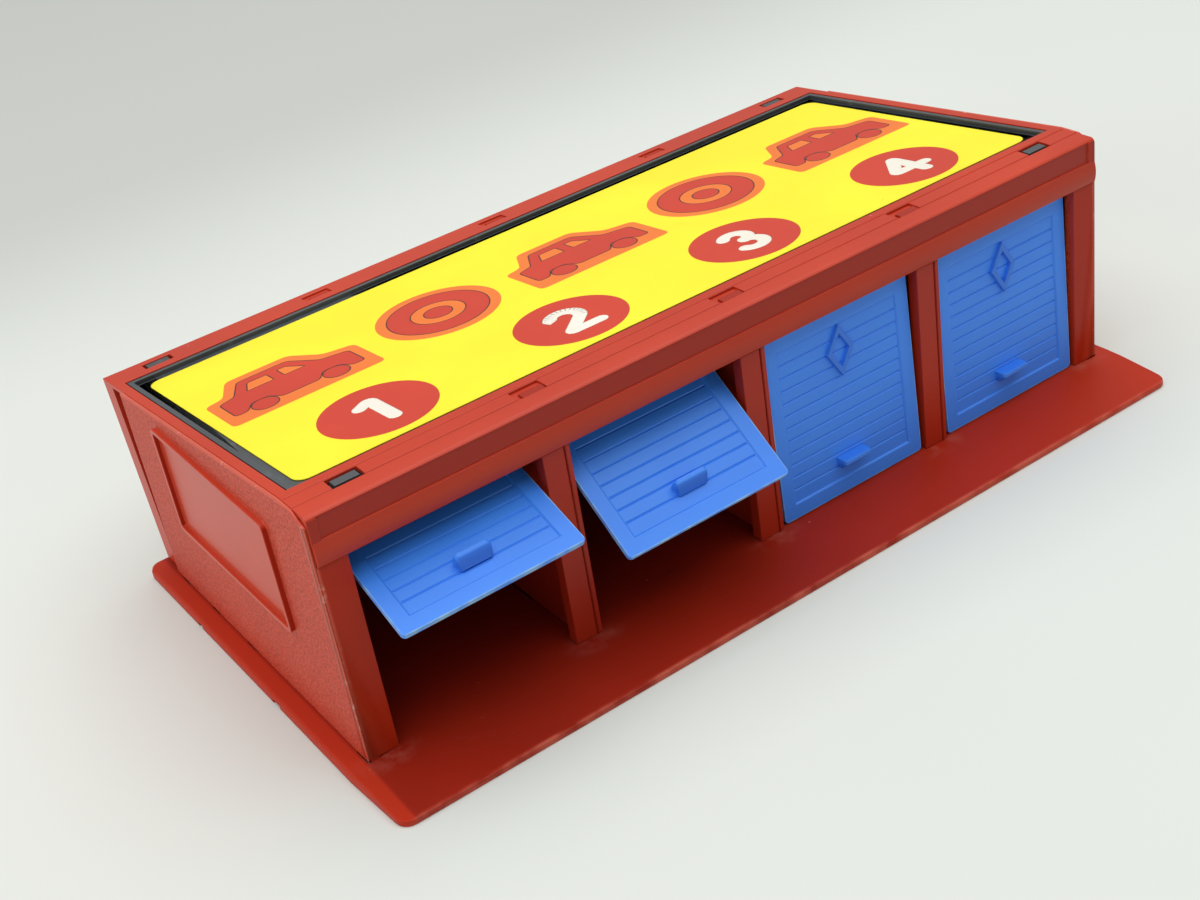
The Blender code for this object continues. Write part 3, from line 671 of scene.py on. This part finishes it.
shell = finishedCopy("roof_and_back_shell", "roof_shell")
startEdit(shell)
for side in (-1, 1):
    pick("VERT", lambda vert: side * vert.co.x > moulding["shellHalf"] * mm - touch)
    bpy.ops.transform.translate(value=(side * moulding["shellGap"] * mm, 0, 0))
endEdit()
softenEdges(shell, moulding["shellArris"], angle=18)
startEdit(shell)
pick("VERT", lambda vert: vert.co.z > roofHeight * mm)
bpy.ops.transform.resize(value=(1, 1, 0), center_override=(0, 0, roofHeight * mm))
endEdit()
slotFloors = []
across, reach = moulding["slotHalf"]
shallow, deep = moulding["slotFloor"]
for centre in postCentres[1:4]:
    for depth in post["tabDepths"]:
        back, top = depth - halfDepth, roofTop(depth)
        slotFloors.append(newCube("slot_floor", (centre - across, back - reach, top - deep),
                                  (centre + across, back + reach, top - shallow)))
shell = joinPieces([shell] + slotFloors, "roof_shell")
place(shell, redPlastic, "garage", "red_plastic", "roof_and_back_shell")
panel = finishedCopy("roof_panel", "roof_tray")
softenEdges(panel, moulding["panelArris"], angle=30)
place(panel, blackPlastic, "garage", "black_plastic", "roof_panel")
print("walls and roof done")


# Label: one sheet with its print as thin films of ink, drawn flat and then laid on the slope

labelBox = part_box("roof_label")
label = {
    "length": 196.6, "width": 79.0 / math.cos(roofTurn), "thickness": 0.2, "corner": 3.0, "film": 0.012,
    "discRadius": 12.8, "discs": [(-72.6, -24.6), (-24.7, -24.6), (23.3, -24.6), (72.4, -24.6)],
    "stroke": 1.65, "arris": 0.04, "motifRow": 9.5, "motifPitch": 38.6, "motifLine": 0.3, "plateRadius": 14.6,
    "tyreRadius": (11.8, 6.6), "hubRadius": 3.2, "rimRadius": 2.9,
}
labelPlace = Matrix.Translation((labelBox[0] + labelBox[1]) / 2) @ Matrix.Rotation(roofTurn, 4, "X")


def layFlat(piece):
    # From the label's own flat place to the slope
    piece.data.transform(labelPlace)
    piece.data.update()


def layer(level):
    # Height of an ink film's top over the middle of the sheet
    return label["thickness"] / 2 + level * label["film"]


def arcPoints(centre, radius, start, end, steps=14):
    angles = [math.radians(start + (end - start) * step / steps) for step in range(steps + 1)]
    return [(centre[0] + radius * math.cos(turn), centre[1] + radius * math.sin(turn)) for turn in angles]


def circlePoints(centre, radius, count):
    return arcPoints(centre, radius, 0, 360, count)[:-1]


def flatShape(name, outlines, level, spread=0):
    # Closed outlines in millimetres as one thin film
    sketch = bpy.data.curves.new(name, "CURVE")
    sketch.dimensions = "2D"
    sketch.fill_mode = "BOTH"
    sketch.extrude = label["film"] * mm * (1 + level) / 2
    sketch.offset = spread * mm
    for outline in outlines:
        spline = sketch.splines.new("POLY")
        spline.points.add(len(outline) - 1)
        for point, (across, up) in zip(spline.points, outline):
            point.co = (across * mm, up * mm, 0, 1)
        spline.use_cyclic_u = True
    piece = addObject(name, sketch)
    piece.location.z = layer(level) * mm - sketch.extrude
    activate(piece)
    bpy.ops.object.convert(target="MESH")
    applyPlace()
    startEdit(piece)
    bpy.ops.mesh.select_all(action="SELECT")
    bpy.ops.mesh.remove_doubles(threshold=0.001 * mm)
    turnFacesOut()
    endEdit()
    return bpy.context.object


def strokeShape(name, points, level):
    # A round-ended brush stroke, flattened to a film
    half = label["stroke"]
    sketch = bpy.data.curves.new(name, "CURVE")
    sketch.dimensions = "3D"
    sketch.bevel_depth = half * mm
    sketch.bevel_resolution = 4
    sketch.use_fill_caps = True
    path = [Vector(point) for point in points]
    capped = []
    for end, nextPoint, order in ((path[0], path[1], 1), (path[-1], path[-2], -1)):
        outward = (end - nextPoint).normalized()
        cap = [(end + outward * half * math.sin(turn), math.cos(turn))
               for turn in (math.radians(angle) for angle in (86, 68, 50, 32, 15))]
        capped.append(cap if order == 1 else cap[::-1])
    stations = capped[0] + [(point, 1) for point in path] + capped[1]
    spline = sketch.splines.new("POLY")
    spline.points.add(len(stations) - 1)
    for point, (spot, radius) in zip(spline.points, stations):
        point.co = (spot.x * mm, spot.y * mm, 0, 1)
        point.radius = radius
    piece = addObject(name, sketch)
    activate(piece)
    bpy.ops.object.convert(target="MESH")
    piece = bpy.context.object
    piece.scale.z = 2 * label["film"] / half
    piece.location.z = layer(level) * mm
    applyPlace()
    piece.data.shade_smooth()
    return piece


def softCorners(points, radius, steps=6):
    # Open path whose inner corners are eased with short curves
    eased = [points[0]]
    for before, here, after in zip(points, points[1:], points[2:]):
        here = Vector(here)
        start = here + (Vector(before) - here).normalized() * radius
        end = here + (Vector(after) - here).normalized() * radius
        for step in range(steps + 1):
            t = step / steps
            eased.append(tuple(start * (1 - t) ** 2 + here * 2 * t * (1 - t) + end * t ** 2))
    return eased + [points[-1]]


numerals = [
    [softCorners([(-2.5, 3.6), (0.8, 5.7), (0.8, -5.8)], 1.2)],
    [softCorners(arcPoints((0, 2.4), 3.4, 160, -35) + [(-3.5, -5.6), (4.0, -5.7)], 0.9)],
    [arcPoints((-0.3, 2.85), 2.85, 150, -80), arcPoints((-0.3, -2.75), 3.1, 80, -150)],
    [softCorners([(1.5, 5.7), (-4.3, -2.2), (4.6, -2.2)], 1.0), [(1.7, 5.0), (1.7, -5.8)]],
]


def moved(outline, centre):
    return [(across + centre[0], up + centre[1]) for across, up in outline]


def roundedOutline(corners, radius, steps):
    # Closed outline whose corners are eased with short curves
    outline = []
    for index, corner in enumerate(corners):
        here = Vector(corner)
        back = (Vector(corners[index - 1]) - here).normalized() * radius
        ahead = (Vector(corners[(index + 1) % len(corners)]) - here).normalized() * radius
        for step in range(steps + 1):
            t = step / steps
            outline.append(tuple(here + back * (1 - t) ** 2 + ahead * t ** 2))
    return outline


carOutline = roundedOutline(
    [(-15.5, -7.5), (-12.8, -7.5), (-10.6, -4.2), (-6.6, -4.2), (-4.4, -7.5), (4.4, -7.5), (6.6, -4.2),
     (10.6, -4.2), (12.8, -7.5), (15.5, -7.5), (15.5, 0.6), (9.2, 2.4), (4.2, 9.5), (-7.8, 9.5),
     (-11.5, 2.4), (-15.5, 1.2)], 0.9, 3)
carWindows = [roundedOutline([(-8.6, 2.6), (-1.6, 2.6), (-1.6, 7.2), (-6.6, 7.2)], 0.7, 3),
              roundedOutline([(0.6, 2.6), (6.2, 2.6), (3.0, 7.2), (0.6, 7.2)], 0.7, 3)]
carPlate = roundedOutline([(-18.2, -12.6), (18.2, -12.6), (18.2, 2.8), (11.2, 4.8), (5.8, 12.4), (-9.6, 12.4),
                           (-13.6, 4.2), (-18.2, 3.4)], 1.6, 4)
wheelCentres = [(-8.6, -7.4), (8.6, -7.4)]

sheet = newCube("label_sheet", (-label["length"] / 2, -label["width"] / 2, -label["thickness"] / 2),
                (label["length"] / 2, label["width"] / 2, label["thickness"] / 2))
startEdit(sheet)
pick("EDGE", lambda edge: abs(edge.verts[0].co.z - edge.verts[1].co.z) > 0.1 * mm)
bpy.ops.mesh.bevel(offset=label["corner"] * mm, segments=8, affect="EDGES")
endEdit()
softenEdges(sheet, label["arris"], angle=60, segments=1)

orangeFilms, darkFilms, redFilms, whiteFilms = [], [], [], []


def printRed(name, outlines):
    # A red shape over a dark one that shows round it as a line
    darkFilms.append(flatShape("line", outlines, 1.5, spread=label["motifLine"]))
    redFilms.append(flatShape(name, outlines, 2))


for centre, strokes in zip(label["discs"], numerals):
    redFilms.append(flatShape("disc", [circlePoints(centre, label["discRadius"], 60)], 2))
    for stroke in strokes:
        whiteFilms.append(strokeShape("numeral", moved(stroke, centre), 2))
for number in range(5):
    centre = ((number - 2) * label["motifPitch"], label["motifRow"])
    if number % 2:
        orangeFilms.append(flatShape("plate", [circlePoints(centre, label["plateRadius"], 60)], 1))
        outer, inner = label["tyreRadius"]
        printRed("wheel", [circlePoints(centre, outer, 60), circlePoints(centre, inner, 36)])
        printRed("wheel", [circlePoints(centre, label["hubRadius"], 24)])
    else:
        orangeFilms.append(flatShape("plate", [moved(carPlate, centre)], 1))
        printRed("car", [moved(outline, centre) for outline in [carOutline] + carWindows])
        for wheel in wheelCentres:
            printRed("rim", [moved(circlePoints(wheel, label["rimRadius"], 24), centre)])
layFlat(sheet)
place(sheet, yellowPaper, "garage", "printed_label", "roof_label")
for films, name, ink in ((orangeFilms, "label_print_orange", orangeInk),
                         (darkFilms, "label_print_lines", darkInk),
                         (redFilms, "label_print_red", redInk),
                         (whiteFilms, "label_print_numbers", whiteInk)):
    printed = joinPieces(films, name)
    layFlat(printed)
    place(printed, ink, "garage", "printed_label")
print("label printed")


# Up-and-over doors, modelled shut and upright with the foot at the origin and the front at Y 0

door = {
    "width": 41.8, "height": 47.44, "thickness": 1.2, "corner": 1.0, "border": 3.5, "topBorder": 5.6,
    "recess": 0.42, "recessSlope": 0.35, "strip": 0.12, "slats": 12, "groove": 0.6, "grooveCut": 0.28,
    "diamond": (3.85, 6.4), "diamondLine": 1.2, "diamondUp": 35.4, "diamondProud": 0.45, "root": 0.8,
    "handleHalf": 4.0, "handleLow": 6.6, "handleHigh": 9.4, "handleOut": 2.6, "handleLip": 1.2,
    "handleCorner": 0.9, "handleTaper": (0.9, 0.1, 1), "handleArris": 0.2,
    "arris": 0.13, "fieldArris": 0.14, "lean": 2.4, "footDepth": 20.013, "footHeight": 2.9,
    "armOuter": 20.0, "armThickness": 1.2, "armSpread": 9.0, "armArris": 0.12, "lugRadius": 3.0,
    "pinRadius": 1.2, "pinRoot": 19.5, "pinEnd": 24.25, "pinArris": 0.2,
    "pivotDepth": 38.5, "pivotHeight": 30.6,
}


def onFrontOutline(edge):
    # An arris between the leaf's front or back and its thin sides
    if len(edge.link_faces) != 2:
        return False
    facing = sorted(abs(face.normal.y) for face in edge.link_faces)
    return facing[0] < 0.1 and facing[1] > 0.95


def makeLeaf():
    half = door["width"] / 2
    leaf = newCube("leaf", (-half, 0, 0), (half, door["thickness"], door["height"]))
    startEdit(leaf)
    pick("EDGE", lambda edge: abs(edge.verts[0].co.y - edge.verts[1].co.y) > 0.5 * mm)
    bpy.ops.mesh.bevel(offset=door["corner"] * mm, segments=4, affect="EDGES")
    fieldHalf = half - door["border"]
    fieldLow, fieldHigh = door["border"], door["height"] - door["topBorder"]

    def inField(face):
        middle = face.calc_center_median() / mm
        return face.normal.y < -0.9 and abs(middle.x) < fieldHalf and fieldLow < middle.z < fieldHigh

    for spot, axis in ((-fieldHalf, (1, 0, 0)), (fieldHalf, (1, 0, 0)),
                       (fieldLow, (0, 0, 1)), (fieldHigh, (0, 0, 1))):
        pick("FACE", lambda face: face.normal.y < -0.9)
        bpy.ops.mesh.bisect(plane_co=Vector(axis) * spot * mm, plane_no=axis)
    pick("FACE", inField)
    bpy.ops.mesh.inset(thickness=door["recessSlope"] * mm, depth=-door["recess"] * mm)
    bpy.ops.mesh.inset(thickness=door["strip"] * mm, depth=0)

    slatHalf = fieldHalf - door["recessSlope"] - door["strip"]
    slatLow = fieldLow + door["recessSlope"] + door["strip"]
    slatHigh = fieldHigh - door["recessSlope"] - door["strip"]
    slatHeight = (slatHigh - slatLow) / door["slats"]

    def onSlats(face):
        middle = face.calc_center_median() / mm
        return face.normal.y < -0.9 and abs(middle.x) < slatHalf - 0.1 and slatLow < middle.z < slatHigh

    lines = [slatLow + slatHeight * number for number in range(1, door["slats"])]
    for line in lines:
        for spot in (line - door["groove"] / 2, line, line + door["groove"] / 2):
            pick("FACE", onSlats)
            bpy.ops.mesh.bisect(plane_co=(0, 0, spot * mm), plane_no=(0, 0, 1))
    pick("VERT", lambda vert: abs(vert.co.x) < slatHalf * mm + touch and vert.co.y < 0.5 * mm
         and any(abs(vert.co.z - line * mm) < touch for line in lines))
    bpy.ops.transform.translate(value=(0, door["grooveCut"] * mm, 0))
    pick("EDGE", onFrontOutline)
    bpy.ops.mesh.bevel(offset=door["arris"] * mm, segments=2, affect="EDGES")
    pick("EDGE", lambda edge: len(edge.link_faces) == 2
         and all(abs(vert.co.y) < 0.01 * mm for vert in edge.verts)
         and min(face.normal.y for face in edge.link_faces) < -0.99
         and max(face.normal.y for face in edge.link_faces) > -0.9)
    bpy.ops.mesh.bevel(offset=door["fieldArris"] * mm, segments=2, affect="EDGES")
    endEdit()
    return leaf


def makeDiamond():
    bpy.ops.mesh.primitive_circle_add(vertices=4, radius=1, fill_type="NGON", rotation=(math.pi / 2, 0, 0),
                                      location=Vector((0, door["root"], door["diamondUp"])) * mm)
    ring = bpy.context.object
    ring.scale = (door["diamond"][0] * mm, door["diamond"][1] * mm, 1)
    applyPlace()
    startEdit(ring)
    turnFacesOut()
    bpy.ops.mesh.inset(thickness=door["diamondLine"] * mm, depth=0)
    bpy.ops.mesh.delete(type="FACE")
    bpy.ops.mesh.select_all(action="SELECT")
    bpy.ops.mesh.extrude_region_move(TRANSFORM_OT_translate={
        "value": (0, -(door["root"] + door["diamondProud"]) * mm, 0)})
    turnFacesOut()
    endEdit()
    softenEdges(ring, door["fieldArris"], angle=60)
    return ring


def makeHandle():
    half = door["handleHalf"]
    handle = newCube("handle", (-half, -door["handleOut"], door["handleLow"]),
                     (half, door["root"], door["handleHigh"]))
    startEdit(handle)
    pick("EDGE", lambda edge: abs(edge.verts[0].co.z - edge.verts[1].co.z) > 1 * mm
         and all(vert.co.y < 0 for vert in edge.verts))
    bpy.ops.mesh.bevel(offset=door["handleCorner"] * mm, segments=5, affect="EDGES")
    bpy.ops.mesh.select_all(action="SELECT")
    bpy.ops.mesh.bisect(plane_co=(0, 0, (door["handleHigh"] - door["handleLip"]) * mm), plane_no=(0, 0, 1))
    pick("VERT", lambda vert: vert.co.z < (door["handleLow"] + 0.1) * mm)
    bpy.ops.transform.resize(value=door["handleTaper"], center_override=(0, 0, door["handleLow"] * mm))
    turnFacesOut()
    endEdit()
    softenEdges(handle, door["handleArris"], angle=38)
    return handle


def makeArm(side, pivot):
    # A flat gusset from the leaf's back to the round lug, with the stub pin on it
    low, high = sorted((side * (door["armOuter"] - door["armThickness"]), side * door["armOuter"]))
    arm = newBar("arm", door["lugRadius"], low, high, pivot)
    rise = pivot[1]
    root = newCube("root", (low, door["thickness"] / 2, rise - door["armSpread"]),
                   (high, door["thickness"], rise + door["armSpread"]))
    arm = joinPieces([arm, root], "arm")
    startEdit(arm)
    bpy.ops.mesh.select_all(action="SELECT")
    bpy.ops.mesh.convex_hull()
    endEdit()
    softenEdges(arm, door["armArris"], angle=50)
    low, high = sorted((side * door["pinRoot"], side * door["pinEnd"]))
    pin = newBar("pin", door["pinRadius"], low, high, pivot, sides=24)
    softenEdges(pin, door["pinArris"], angle=50)
    return [arm, pin]


# The pivot as the upright leaf sees it: the closed leaf leans back, so undo that lean
unlean = Matrix.Rotation(math.radians(door["lean"]), 4, "X")
fromFoot = unlean @ Vector((0, door["pivotDepth"] - door["footDepth"],
                            door["pivotHeight"] - door["footHeight"]))
pivotOnLeaf = (fromFoot.y, fromFoot.z)
leaf = makeLeaf()
leaf.data.shade_smooth()
activate(leaf)
bpy.ops.object.shade_smooth_by_angle(angle=math.radians(25))
doorParts = [leaf, makeDiamond(), makeHandle()] + makeArm(-1, pivotOnLeaf) + makeArm(1, pivotOnLeaf)
doorModel = joinPieces(doorParts, "door_model")
weighFlats(doorModel)
placeMap = doorModel.data.attributes.new("doorPlace", "FLOAT_VECTOR", "POINT")
for vert, record in zip(doorModel.data.vertices, placeMap.data):
    record.vector = vert.co

footPlace = (Matrix.Translation(Vector((0, door["footDepth"] - halfDepth, door["footHeight"])) * mm)
             @ Matrix.Rotation(-math.radians(door["lean"]), 4, "X"))
doorBodies = ("first_door", "second_door", "third_door", "fourth_door")
for number, (centre, body) in enumerate(zip(bayCentres, doorBodies), 1):
    joint = jointPlaces[body]
    pivot = Vector(joint["pos_m"])
    openAngle = -joint["range_deg"][0]
    swing = (Matrix.Translation(pivot) @ Matrix.Rotation(-math.radians(openAngle), 4, "X")
             @ Matrix.Translation(-pivot))
    copy = addObject(f"door_{number}_slatted", doorModel.data.copy())
    copy.data.transform(swing @ Matrix.Translation((centre * mm, 0, 0)) @ footPlace)
    place(copy, bluePlastic, body, "blue_plastic", f"door_{number}")
bpy.data.objects.remove(doorModel)
print("doors hung")


# Floor, light and camera

def paperFloor(look):
    # Matt white paper with a broad unevenness that only just shows, and painted shade that makes it a little
    # darker behind the toy
    material, tree, shader = newMaterial("mattPaperFloor")
    spot = addNode(tree, "TexCoord").outputs["Object"]
    broad = addNode(tree, "TexNoise", {"Vector": spot, "Scale": perMetre(look["broadSize"]), "Detail": 2.0})
    tone = addNode(tree, "Mix", {0: broad, 6: colour(look["dull"]), 7: colour(look["bright"])})
    axes = addNode(tree, "SeparateXYZ", {0: spot})
    # Painted shade: the paper darkens towards the back
    start, end = look["behind"]
    behind = addNode(tree, "MapRange", {0: axes.outputs[1], 1: start, 2: end},
                     interpolation_type="SMOOTHSTEP")
    paintedShadeBehind = addNode(tree, "Mix", {0: behind, 6: tone, 7: colour(look["behindShadeTone"])})
    feed(shader, {"Base Color": paintedShadeBehind, "Roughness": 0.75, "Specular IOR Level": 0.2})
    # Well away from the toy the paper runs on as an even backdrop
    reach = addNode(tree, "VectorMath", {0: spot}, operation="LENGTH")
    start, end = look["far"]
    far = addNode(tree, "MapRange", {0: reach, 1: start, 2: end}, interpolation_type="SMOOTHSTEP")
    seen = addNode(tree, "LightPath")
    farSeen = addNode(tree, "Math", {0: far, 1: seen.outputs["Is Camera Ray"]}, operation="MULTIPLY")
    backdrop = addNode(tree, "Emission", {"Color": colour(look["backdrop"])})
    ground = addNode(tree, "MixShader", {0: farSeen, 1: shader, 2: backdrop})
    feed(tree.nodes["Material Output"], {"Surface": ground})
    return material


paper = {"broadSize": 180, "dull": "#D1D4CF", "bright": "#D8DBD6", "behind": (0.15, 0.32),
         "behindShadeTone": "#BDBFBB", "far": (0.62, 1.5), "backdrop": "#D5D8D3"}
bpy.ops.mesh.primitive_plane_add(size=6)
floor = bpy.context.object
floor.name = "paper_floor"
floor.data.materials.append(paperFloor(paper))

lamps = {
    "softboxOver": {"place": (0.05, -0.03, 1.25), "aim": (0.05, -0.03, 0), "size": 2.0, "power": 22.4},
    "softboxLeft": {"place": (-1.3, 0.1, 0.3), "aim": (0, 0, 0.03), "size": 0.7, "power": 4.1},
}
for name, lamp in lamps.items():
    light = bpy.data.lights.new(name, "AREA")
    light.shape = "SQUARE"
    light.size = lamp["size"]
    light.energy = lamp["power"]
    holder = addObject(name, light)
    holder.location = lamp["place"]
    holder.rotation_euler = (Vector(lamp["aim"]) - Vector(lamp["place"])).to_track_quat("-Z", "Y").to_euler()

world = bpy.data.worlds.new("paleRoom")
bpy.context.scene.world = world
world.use_nodes = True
room = {"tint": "#EEF1EE", "strength": 0.47}
roomLight = [part * room["strength"] for part in colour(room["tint"])[:3]] + [1]
roomSeen = addNode(world.node_tree, "LightPath")
roomTone = addNode(world.node_tree, "Mix", {0: roomSeen.outputs["Is Camera Ray"], 6: roomLight,
                                            7: colour(paper["backdrop"])})
feed(world.node_tree.nodes["Background"], {"Color": roomTone})

view = {"lens": 53.464, "film": 36, "near": 0.01, "place": (-0.195761, -0.30597, 0.230902),
        "turn": (58.2625, 8.3071, -35.6731)}
cameraData = bpy.data.cameras.new("camera")
cameraData.lens = view["lens"]
cameraData.sensor_width = view["film"]
cameraData.clip_start = view["near"]
camera = addObject("camera", cameraData)
camera.location = view["place"]
camera.rotation_euler = [math.radians(angle) for angle in view["turn"]]
bpy.context.scene.camera = camera
bpy.context.scene.view_settings.view_transform = "Standard"
print("floor, light and camera set")
